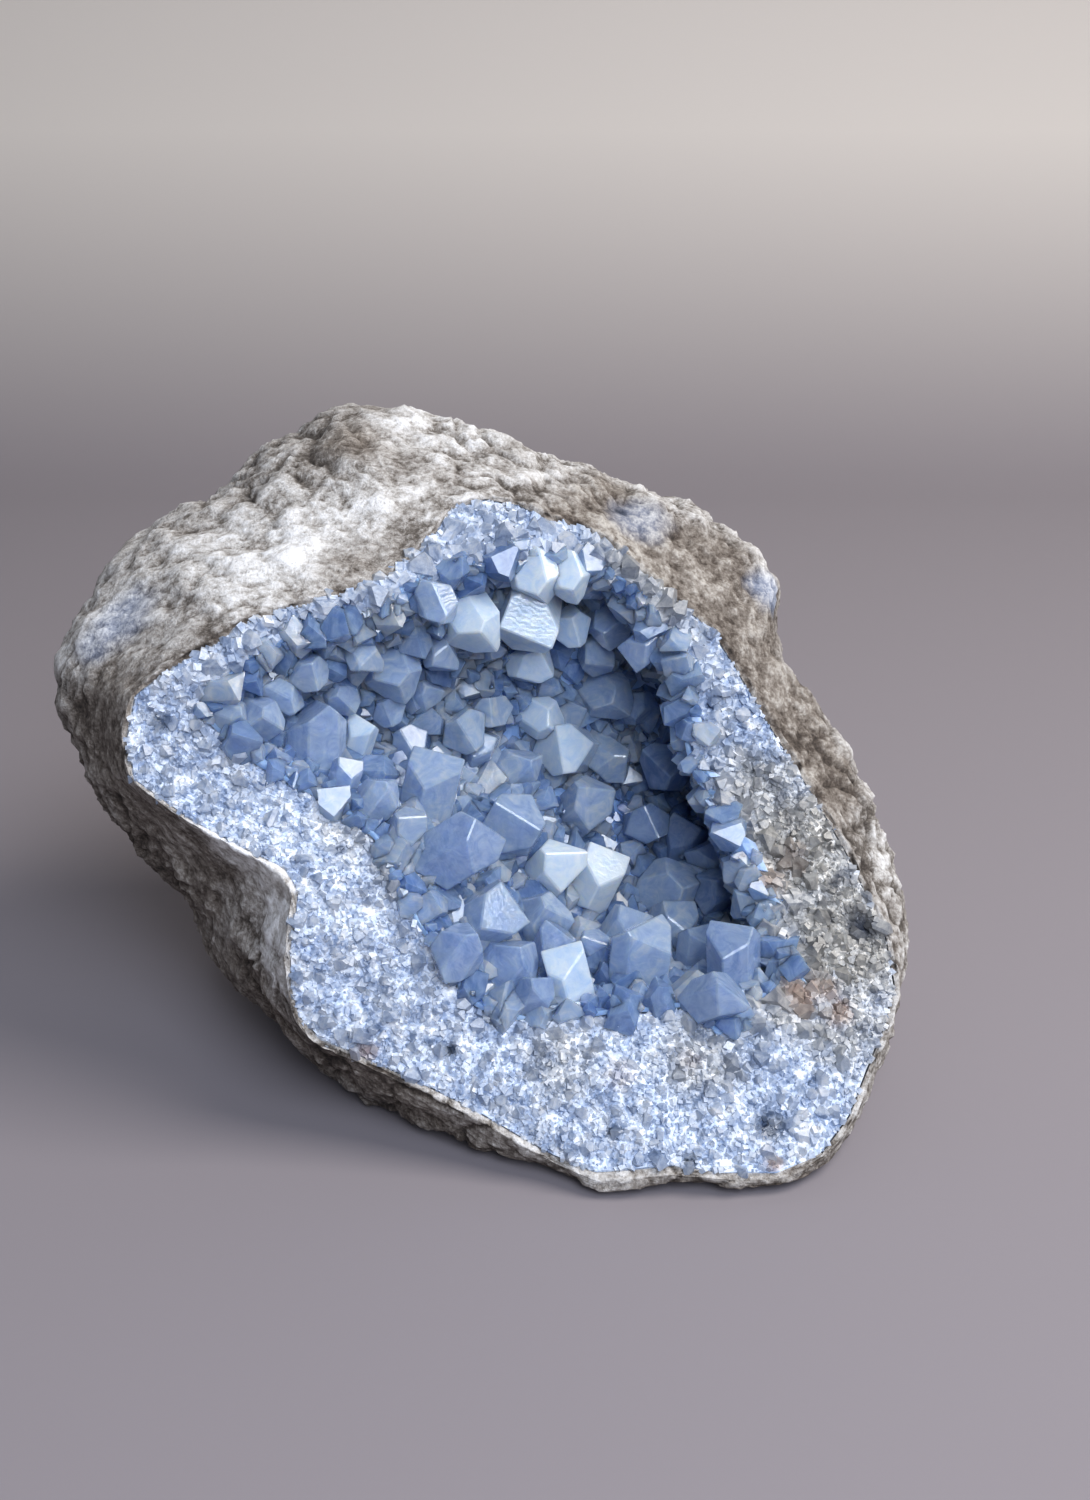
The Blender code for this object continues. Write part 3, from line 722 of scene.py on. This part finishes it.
def scatter_tree():
    tree = bpy.data.node_groups.new("grow_on_surface", "GeometryNodeTree")
    for name, kind in SCATTER_INPUTS:
        tree.interface.new_socket(name, in_out="INPUT", socket_type=kind)
    tree.interface.new_socket("Geometry", in_out="OUTPUT", socket_type="NodeSocketGeometry")
    given = add(tree, "NodeGroupInput").outputs
    growth = add(tree, "GeometryNodeInputNamedAttribute", {"Name": "growth"}, data_type="FLOAT")
    points = add(tree, "GeometryNodeDistributePointsOnFaces", {
        "Mesh": given["Geometry"], "Distance Min": given["Spacing"], "Density Max": given["Density"],
        "Density Factor": growth.outputs[0], "Seed": given["Seed"]}, distribute_method="POISSON")
    lean = add(tree, "ShaderNodeMath", {0: given["Lean"], 1: -1.0}, operation="MULTIPLY").outputs[0]
    least = add(tree, "ShaderNodeCombineXYZ", {0: lean, 1: lean, 2: 0.0})
    most = add(tree, "ShaderNodeCombineXYZ", {0: given["Lean"], 1: given["Lean"], 2: 2 * math.pi})
    turn = add(tree, "FunctionNodeRandomValue", {
        0: least.outputs[0], 1: most.outputs[0], "Seed": given["Seed"]}, data_type="FLOAT_VECTOR")
    turn = add(tree, "FunctionNodeEulerToRotation", {0: turn.outputs[0]})
    rotation = add(tree, "FunctionNodeRotateRotation", {
        0: points.outputs["Rotation"], 1: turn.outputs[0]}, rotation_space="LOCAL")
    chance = add(tree, "FunctionNodeRandomValue", {
        2: 0.0, 3: 1.0, "Seed": given["Seed"]}, data_type="FLOAT")
    few_large = add(tree, "ShaderNodeMath", {0: chance.outputs[1], 1: FEW_LARGE}, operation="POWER")
    size = add(tree, "ShaderNodeMapRange", {
        "Value": few_large.outputs[0], "To Min": given["Smallest"], "To Max": given["Largest"]})
    swell = add(tree, "GeometryNodeInputNamedAttribute", {"Name": "swell"}, data_type="FLOAT")
    size = add(tree, "ShaderNodeMath", {0: size.outputs[0], 1: swell.outputs[0]}, operation="MULTIPLY")
    shapes = add(tree, "GeometryNodeCollectionInfo", {
        "Collection": given["Shapes"], "Separate Children": True, "Reset Children": True})
    placed = add(tree, "GeometryNodeInstanceOnPoints", {
        "Points": points.outputs["Points"], "Instance": shapes.outputs[0], "Pick Instance": True,
        "Rotation": rotation.outputs[0], "Scale": size.outputs[0]})
    tone = add(tree, "FunctionNodeRandomValue", {2: 0.0, 3: 1.0, "Seed": TONE_SEED}, data_type="FLOAT")
    toned = add(tree, "GeometryNodeStoreNamedAttribute", {
        "Geometry": placed.outputs[0], "Name": "grain_tone", "Value": tone.outputs[1]},
        data_type="FLOAT", domain="INSTANCE")
    real = add(tree, "GeometryNodeRealizeInstances", {0: toned.outputs[0]})
    finished = add(tree, "GeometryNodeSetMaterial", {
        "Geometry": real.outputs[0], "Material": given["Finish"]})
    add(tree, "NodeGroupOutput", {0: finished.outputs[0]})
    return tree


GROW = scatter_tree()
print("inputs of the tree:", [name for name, _ in SCATTER_INPUTS])

# %% Run it on a surface


def keep_inside(mesh):
    """Flattens whatever would reach out of the solids' box, for instance into the floor."""
    points = np.array([v.co for v in mesh.vertices])
    mesh.vertices.foreach_set("co", np.clip(points, *CAD_BOX).ravel())
    mesh.update()


def grown_on(ground, name, **given):
    """Runs the scattering tree on a piece's mesh and keeps the result as a plain mesh."""
    carrier = add_piece("carrier", ground.copy())
    modifier = carrier.modifiers.new("grow", "NODES")
    modifier.node_group = GROW
    sockets = {item.name: item.identifier for item in GROW.interface.items_tree if item.in_out == "INPUT"}
    for key, value in given.items():
        modifier[sockets[key]] = value
    graph = bpy.context.evaluated_depsgraph_get()
    mesh = bpy.data.meshes.new_from_object(carrier.evaluated_get(graph))
    mesh.name = name
    bpy.data.objects.remove(carrier)
    keep_inside(mesh)
    print(name, "triangles:", len(mesh.polygons))
    return mesh


# %% [markdown]
# ## Sugar on the broken face
#
# The face's relief alone looks like plaster. What makes it celestite are thousands of small flat
# faces, each at its own angle. Half-sunk blocks of one or two millimetres do that, with some hundreds
# of coarse, clearer grains among them. Both kinds grow larger towards the hollow's roof and right
# side, where the grains had room.

# %% Grow the grains
sugar_grains = add_piece("sugar_grains", grown_on(
    band.data, "sugar_grains", Shapes=block_pool, Spacing=0.80 * MM, Density=2.5 / MM ** 2,
    Smallest=0.34 * MM, Largest=0.95 * MM, Lean=1.5, Seed=4, Finish=sugar_celestite))
coarse_grains = add_piece("coarse_grains", grown_on(
    band.data, "coarse_grains", Shapes=druse_pool, Spacing=2.3 * MM, Density=0.16 / MM ** 2,
    Smallest=0.8 * MM, Largest=2.2 * MM, Lean=1.0, Seed=9, Finish=coarse_celestite))
print("marks that came along:", [a.name for a in sugar_grains.data.attributes])

# %% [markdown]
# ## Clear celestite: finish
#
# The crystals are see-through, but not like window glass: fine veils and bubbles make them milky, and
# their pale blue deepens with thickness. Plain transmission with celestite's own index of refraction,
# 1.62, and an absorbing volume give the colour by depth. The part of the light that isn't let through
# wanders between the veils, as subsurface scattering, and comes out in a pale, cloudy blue. Growth
# lines run across the faces of the large ones as a very low bump.

# %% Clear celestite, grown in a hollow
MILK_DEPTH = 3.0 * MM  # how far light wanders between the veils
MILK_REACH = (1.0, 0.85, 0.7)  # red, green and blue, as shares of it
BLUE_DEPTH = (0.25, 0.60, 0.93, 1)  # what the absorbing volume leaves, in linear light
VEIL_WIDTH, VEIL_SHARE, OWN_SHARE, CLEAR_SHIFT = 4.5 * MM, 1.10, 0.60, 0.32
TONE_STOPS = (0.15, 0.55, 0.90)
SKIN_WIDTH, SKIN_DEPTH = 1.6 * MM, 0.25 * MM
LINE_SPACING, LINE_SHARE = 0.9 * MM, 0.16
WAVE_PERIOD = 0.31  # metres between the bands of a wave node at scale 1


def clear_celestite(name, transmission, roughness, colours, density, striped):
    """colours run from the clearest blue to the milkiest white; each crystal has its own tone."""
    made, tree, shader, place = new_material(name)
    own = add(tree, "ShaderNodeAttribute", attribute_name="grain_tone").outputs["Fac"]
    veils = grains(tree, place, VEIL_WIDTH, detail=5, roughness=0.65, distortion=1.4)
    tone = weighted(tree, [(own, OWN_SHARE), (veils, VEIL_SHARE)], CLEAR_SHIFT)
    colour = graded(tree, tone, list(zip(TONE_STOPS, colours)))
    tree.links.new(colour, shader.inputs["Base Color"])
    shader.inputs["Roughness"].default_value = roughness
    shader.inputs["IOR"].default_value = CELESTITE_IOR
    shader.inputs["Transmission Weight"].default_value = transmission
    shader.inputs["Subsurface Weight"].default_value = 1.0
    shader.inputs["Subsurface Radius"].default_value = MILK_REACH
    shader.inputs["Subsurface Scale"].default_value = MILK_DEPTH
    absorption = add(tree, "ShaderNodeVolumeAbsorption")
    absorption.inputs["Color"].default_value = BLUE_DEPTH
    absorption.inputs["Density"].default_value = density
    tree.links.new(absorption.outputs[0], tree.nodes["Material Output"].inputs["Volume"])
    height = grains(tree, place, SKIN_WIDTH, detail=3, roughness=0.6)
    if striped:
        grown = add(tree, "ShaderNodeAttribute", attribute_name="grown")
        lines = add(tree, "ShaderNodeTexWave", {
            "Vector": grown.outputs["Vector"], "Scale": WAVE_PERIOD / LINE_SPACING, "Distortion": 9.0,
            "Detail": 3.0, "Detail Scale": 1.2}, bands_direction="Z")
        height = maths(tree, "ADD", height, maths(tree, "MULTIPLY", lines.outputs["Fac"], LINE_SHARE))
    bumped(tree, shader, height, 0.32, SKIN_DEPTH)
    return made


# %% The four finishes of the crust
large_finish = clear_celestite(
    "clear_celestite", transmission=0.58, roughness=0.07, density=5.0, striped=True,
    colours=("#92b0de", "#c4dafa", "#f6faff"))
milky_finish = clear_celestite(
    "clear_celestite_milky", transmission=0.30, roughness=0.10, density=6.0, striped=True,
    colours=("#9dc0f6", "#c6dcfd", "#e6f0ff"))
# The small crystals are a darker blue than the large ones: partly their own colour, partly painted shade
# between the large crystals.
small_finish_with_painted_shade = clear_celestite(
    "clear_celestite_small_shaded", transmission=0.62, roughness=0.09, density=10.0, striped=False,
    colours=("#7496cc", "#b0ccf4", "#eaf3ff"))
lining_finish = clear_celestite(
    "clear_celestite_lining", transmission=0.10, roughness=0.30, density=30.0, striped=False,
    colours=("#8aacde", "#aecaf2", "#d4e5fb"))
print("finishes:", [m.name for m in bpy.data.materials])

# %% [markdown]
# ## The lining of the hollow
#
# All crystals of the hollow share a thin layer that they grew from. It follows the band's inner wall,
# so that wall is its pattern: the band's triangles that face the crust are copied, moved off the wall,
# roughened and closed to a thin shell. The small crystals then grow on it.

# %% Shape the lining
LINING_OFF_WALL = 1.6 * MM
LINING_THICKNESS = 1.0 * MM
LINING_RELIEF, LINING_LUMP_WIDTH = 0.9 * MM, 5 * MM
LINING_HALVINGS, LINING_SMOOTHING = 2, 4
CRUST_REACH = 12 * MM  # within which the crust lies over the wall of the hollow


def hollow_face(face):
    return meets(crust_tree, face, CRUST_REACH)


def hollow_lining():
    bm = band_solid.copy()
    bmesh.ops.delete(bm, geom=[f for f in bm.faces if not hollow_face(f)], context="FACES")
    points, triangles, _, shown = refined(bm, lambda face: True, LINING_HALVINGS)
    bm.free()
    edges, uses = np.unique(np.sort(triangles[:, [0, 1, 1, 2, 2, 0]].reshape(-1, 2), axis=1), axis=0,
                            return_counts=True)
    shown[edges[uses == 1]] = False
    points = smoothed(points, triangles, shown, LINING_SMOOTHING)
    off = [LINING_OFF_WALL + LINING_RELIEF * noise.noise(Vector(p) / LINING_LUMP_WIDTH) for p in points]
    points += normals_of(points, triangles) * np.array(off)[:, None]
    mesh = mesh_of("hollow_lining", points, triangles)
    give(mesh, "growth", np.ones(len(points)))
    give(mesh, "swell", np.ones(len(points)))
    return mesh


lining_sheet = hollow_lining()
lining = add_piece("hollow_lining", lining_sheet.copy(), lining_finish)
shell = lining.modifiers.new("shell", "SOLIDIFY")
shell.thickness, shell.offset = LINING_THICKNESS, -1
graph = bpy.context.evaluated_depsgraph_get()
lining.data = bpy.data.meshes.new_from_object(lining.evaluated_get(graph))
lining.modifiers.clear()
print("lining triangles:", len(lining.data.polygons))

# %% [markdown]
# ## The small crystals of the hollow
#
# Between the large crystals the wall is crowded with smaller ones of about four to eleven millimetres,
# all roughly square to the wall. They come from the same tree as the grains, with other sizes.

# %% Grow the small crystals
small_crystals = add_piece("small_crystals", grown_on(
    lining_sheet, "small_crystals", Shapes=druse_pool, Spacing=2.3 * MM, Density=0.26 / MM ** 2,
    Smallest=1.8 * MM, Largest=5.6 * MM, Lean=0.8, Seed=8, Finish=small_finish_with_painted_shade))

# %% [markdown]
# ## The large crystals
#
# The large crystals carry the look of the hollow, so each has a place of its own in a list: where it is
# seen, how long it is and how far it is turned. The line of sight finds its root on the wall. It grows
# square to the wall there, leaning a little. The milkiest ones have a finish of their own, which lets
# less light through.

# %% Places of the large crystals
# Column, row, half-length in mm, turn in degrees, milkiness from 0 to 1.
LARGE_CRYSTALS = [
    (585, 900, 10.0, 20, 1.0), (538, 876, 9.0, 75, 0.9), (430, 868, 11.0, 35, 0.25),
    (420, 806, 9.5, 0, 0.5), (494, 832, 11.0, 55, 0.45), (556, 752, 10.5, 15, 0.8),
    (572, 812, 8.5, 70, 0.6), (456, 722, 8.0, 30, 0.6), (682, 762, 9.0, 60, 0.1),
    (632, 985, 11.0, 45, 0.5), (668, 940, 8.0, 10, 0.6), (660, 898, 8.5, 80, 0.55),
    (738, 990, 10.0, 25, 0.25), (470, 925, 9.5, 5, 0.5), (456, 606, 9.0, 40, 0.8),
    (520, 590, 12.0, 65, 0.85), (386, 656, 8.0, 20, 0.5), (246, 722, 7.0, 50, 0.45),
    (306, 752, 8.5, 35, 0.35), (612, 606, 8.0, 10, 0.4), (740, 880, 8.0, 55, 0.1),
    (570, 1000, 8.0, 30, 0.7), (350, 750, 6.5, 0, 0.7), (520, 660, 7.5, 25, 0.7),
    (600, 690, 8.0, 50, 0.5), (696, 696, 7.5, 15, 0.4), (430, 640, 6.5, 70, 0.5),
    (680, 850, 8.0, 35, 0.0), (500, 985, 8.5, 60, 0.3), (640, 830, 8.0, 20, 0.2),
    (300, 665, 6.0, 10, 0.5), (355, 642, 6.0, 70, 0.6), (332, 692, 5.5, 40, 0.4),
    (270, 690, 5.5, 85, 0.5), (384, 702, 6.0, 20, 0.4), (415, 692, 5.5, 60, 0.5),
    (485, 702, 7.0, 0, 0.6), (474, 762, 7.0, 45, 0.5), (510, 780, 7.0, 75, 0.55),
    (402, 742, 6.0, 30, 0.35), (535, 712, 6.5, 55, 0.75), (600, 750, 7.5, 5, 0.6),
    (640, 704, 6.5, 65, 0.2), (660, 640, 6.5, 35, 0.3), (562, 612, 7.5, 15, 0.7),
    (592, 648, 6.5, 80, 0.5), (566, 560, 6.5, 25, 0.8), (430, 590, 6.0, 60, 0.5),
    (722, 800, 7.5, 40, 0.5), (702, 836, 7.0, 70, 0.1), (728, 856, 7.0, 20, 0.2),
    (692, 894, 7.0, 85, 0.2), (612, 944, 7.5, 30, 0.6), (586, 962, 6.5, 60, 0.4),
    (545, 962, 7.5, 15, 0.2), (520, 926, 8.0, 50, 0.5), (448, 962, 7.0, 75, 0.3),
    (530, 1012, 6.0, 45, 0.2), (700, 1012, 8.0, 35, 0.35), (692, 962, 6.5, 0, 0.4),
    (768, 962, 6.5, 55, 0.2), (396, 836, 6.5, 80, 0.5), (222, 712, 5.0, 40, 0.5),
    (340, 790, 5.5, 10, 0.4), (368, 812, 6.0, 60, 0.5), (530, 560, 7.0, 35, 0.9),
]

# %% Set the large crystals
MILKY = 0.65  # from this milkiness on a crystal takes the milky finish
CRYSTAL_SEED = 7
SHOWN_SIZE = 0.90  # share of the listed half-length
STANDING_OUT = 0.62  # distance of a crystal's middle from the wall, in half-lengths
LEAN = 0.30
CRYSTAL_UNEVENNESS = 0.16
EDGE_BEVEL = 0.30 * MM


def large_crystals(name, chosen):
    rng = np.random.default_rng(CRYSTAL_SEED)
    wall = BVHTree.FromPolygons(
        [v.co for v in lining_sheet.vertices], [p.vertices for p in lining_sheet.polygons])
    joined = bmesh.new()
    joined.verts.layers.float_vector.new("grown")
    joined.verts.layers.float.new("grain_tone")
    for column, row, half_length, turn, milkiness in chosen:
        spot, normal = seen_on(wall, column, row)
        if spot is None:
            print("no wall behind", column, row)
            continue
        if normal.dot(EYE - spot) < 0:
            normal = -normal
        outward = (normal + Vector(rng.normal(size=3)) * LEAN).normalized()
        half_length *= SHOWN_SIZE
        one = crystal(half_length * MM, FACES, rng, CRYSTAL_UNEVENNESS, bevel=EDGE_BEVEL)
        local = one.verts.layers.float_vector.new("grown")
        own = one.verts.layers.float.new("grain_tone")
        for vertex in one.verts:
            vertex[local] = vertex.co + Vector((column, row, 0)) * MM
            vertex[own] = milkiness
        upright = outward.to_track_quat("Z", "Y").to_matrix().to_4x4()
        turned = upright @ Matrix.Rotation(math.radians(turn), 4, "Z")
        place = Matrix.Translation(spot + normal * STANDING_OUT * half_length * MM) @ turned
        bmesh.ops.transform(one, matrix=place, verts=one.verts)
        piece = to_mesh(one, "crystal")
        joined.from_mesh(piece)
        bpy.data.meshes.remove(piece)
    return to_mesh(joined, name)


milky_ones = [c for c in LARGE_CRYSTALS if c[4] >= MILKY]
clear_ones = [c for c in LARGE_CRYSTALS if c[4] < MILKY]
milky = add_piece("milky_crystals", large_crystals("milky_crystals", milky_ones), milky_finish)
large = add_piece("large_crystals", large_crystals("large_crystals", clear_ones), large_finish)
print("crystals, milky and clear:", len(milky_ones), len(clear_ones))
print("triangles, milky and clear:", len(milky.data.polygons), len(large.data.polygons))

# %% [markdown]
# ## Stage
#
# A plain pale floor that curves up behind the stone, and two large soft lights: a warm one at the upper
# right and a cool one in front, somewhat to the right. With only a weak even fill, the left side of
# the stone and the right wall of the hollow fall into shade, as they should.

# %% Floor
BEND_RADIUS, BEND_STEPS = 0.25, 12
BACK, FRONT, SIDE, TOP = 0.75, -2.5, 3.0, 2.0


def sweep():
    """A floor that turns up into a backdrop through a quarter circle."""
    profile = [(FRONT, 0.0), (BACK - BEND_RADIUS, 0.0)]
    for angle in np.linspace(0, math.pi / 2, BEND_STEPS)[1:]:
        profile.append((BACK - BEND_RADIUS + BEND_RADIUS * math.sin(angle),
                        BEND_RADIUS - BEND_RADIUS * math.cos(angle)))
    profile.append((BACK, TOP))
    vertices = [(x, y, z) for x in (-SIDE, SIDE) for y, z in profile]
    count = len(profile)
    faces = [(k, k + count, k + count + 1, k + 1) for k in range(count - 1)]
    mesh = bpy.data.meshes.new("floor")
    mesh.from_pydata(vertices, [], faces)
    mesh.shade_smooth()
    return mesh


RAMP_HEIGHT = 0.25  # of the backdrop, over which the paint turns paler
floor_paint, floor_tree, floor_shader, floor_place = new_material("painted_board")
height = add(floor_tree, "ShaderNodeSeparateXYZ", {0: floor_place}).outputs["Z"]
height = maths(floor_tree, "MULTIPLY", height, 1 / RAMP_HEIGHT, clamp=True)
board = graded(floor_tree, height, [(0.0, "#847e83"), (0.6, "#cbc4bd")])
floor_tree.links.new(board, floor_shader.inputs["Base Color"])
floor_shader.inputs["Roughness"].default_value = 0.7
floor = add_piece("floor", sweep(), floor_paint)
print("floor faces:", len(floor.data.polygons))

# %% Light
LIGHT_SIZE = 0.7


def soft_light(name, place, target, power, colour):
    data = bpy.data.lights.new(name, "AREA")
    data.shape, data.size, data.energy, data.color = "SQUARE", LIGHT_SIZE, power, linear(colour)[:3]
    lamp = bpy.data.objects.new(name, data)
    lamp.location = place
    lamp.rotation_euler = (Vector(target) - Vector(place)).to_track_quat("-Z", "Y").to_euler()
    bpy.context.scene.collection.objects.link(lamp)


soft_light("window", (0.70, -0.15, 0.95), (0, 0, 0.06), power=13, colour="#fffaf4")
soft_light("sky", (0.28, -0.98, 0.85), (0.02, 0, 0.07), power=15, colour="#e6efff")

world = bpy.data.worlds.new("studio")
world.use_nodes = True
world.node_tree.nodes["Background"].inputs["Color"].default_value = linear("#dfe4ee")
world.node_tree.nodes["Background"].inputs["Strength"].default_value = 0.19
bpy.context.scene.world = world
bpy.context.scene.view_settings.view_transform = "Standard"
print("lights:", [light.name for light in bpy.data.lights])

# %% [markdown]
# ## Hand every piece to its solid
#
# Each piece rides on the one body, and the solid that it stands for is hidden.

# %% Ride and replace
PIECES = [
    (rind, "weathered_limestone", ["limestone_rind"]),
    (band, "granular_celestite", ["celestite_band"]),
    (sugar_grains, "granular_celestite", ["celestite_band"]),
    (coarse_grains, "granular_celestite", ["celestite_band"]),
    (lining, "clear_celestite", ["crystal_crust"]),
    (small_crystals, "clear_celestite", ["crystal_crust"]),
    (milky, "clear_celestite", ["crystal_crust"]),
    (large, "clear_celestite", ["crystal_crust"]),
]
for piece, slot, nodes in PIECES:
    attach(piece, "root")
    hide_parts(*nodes)
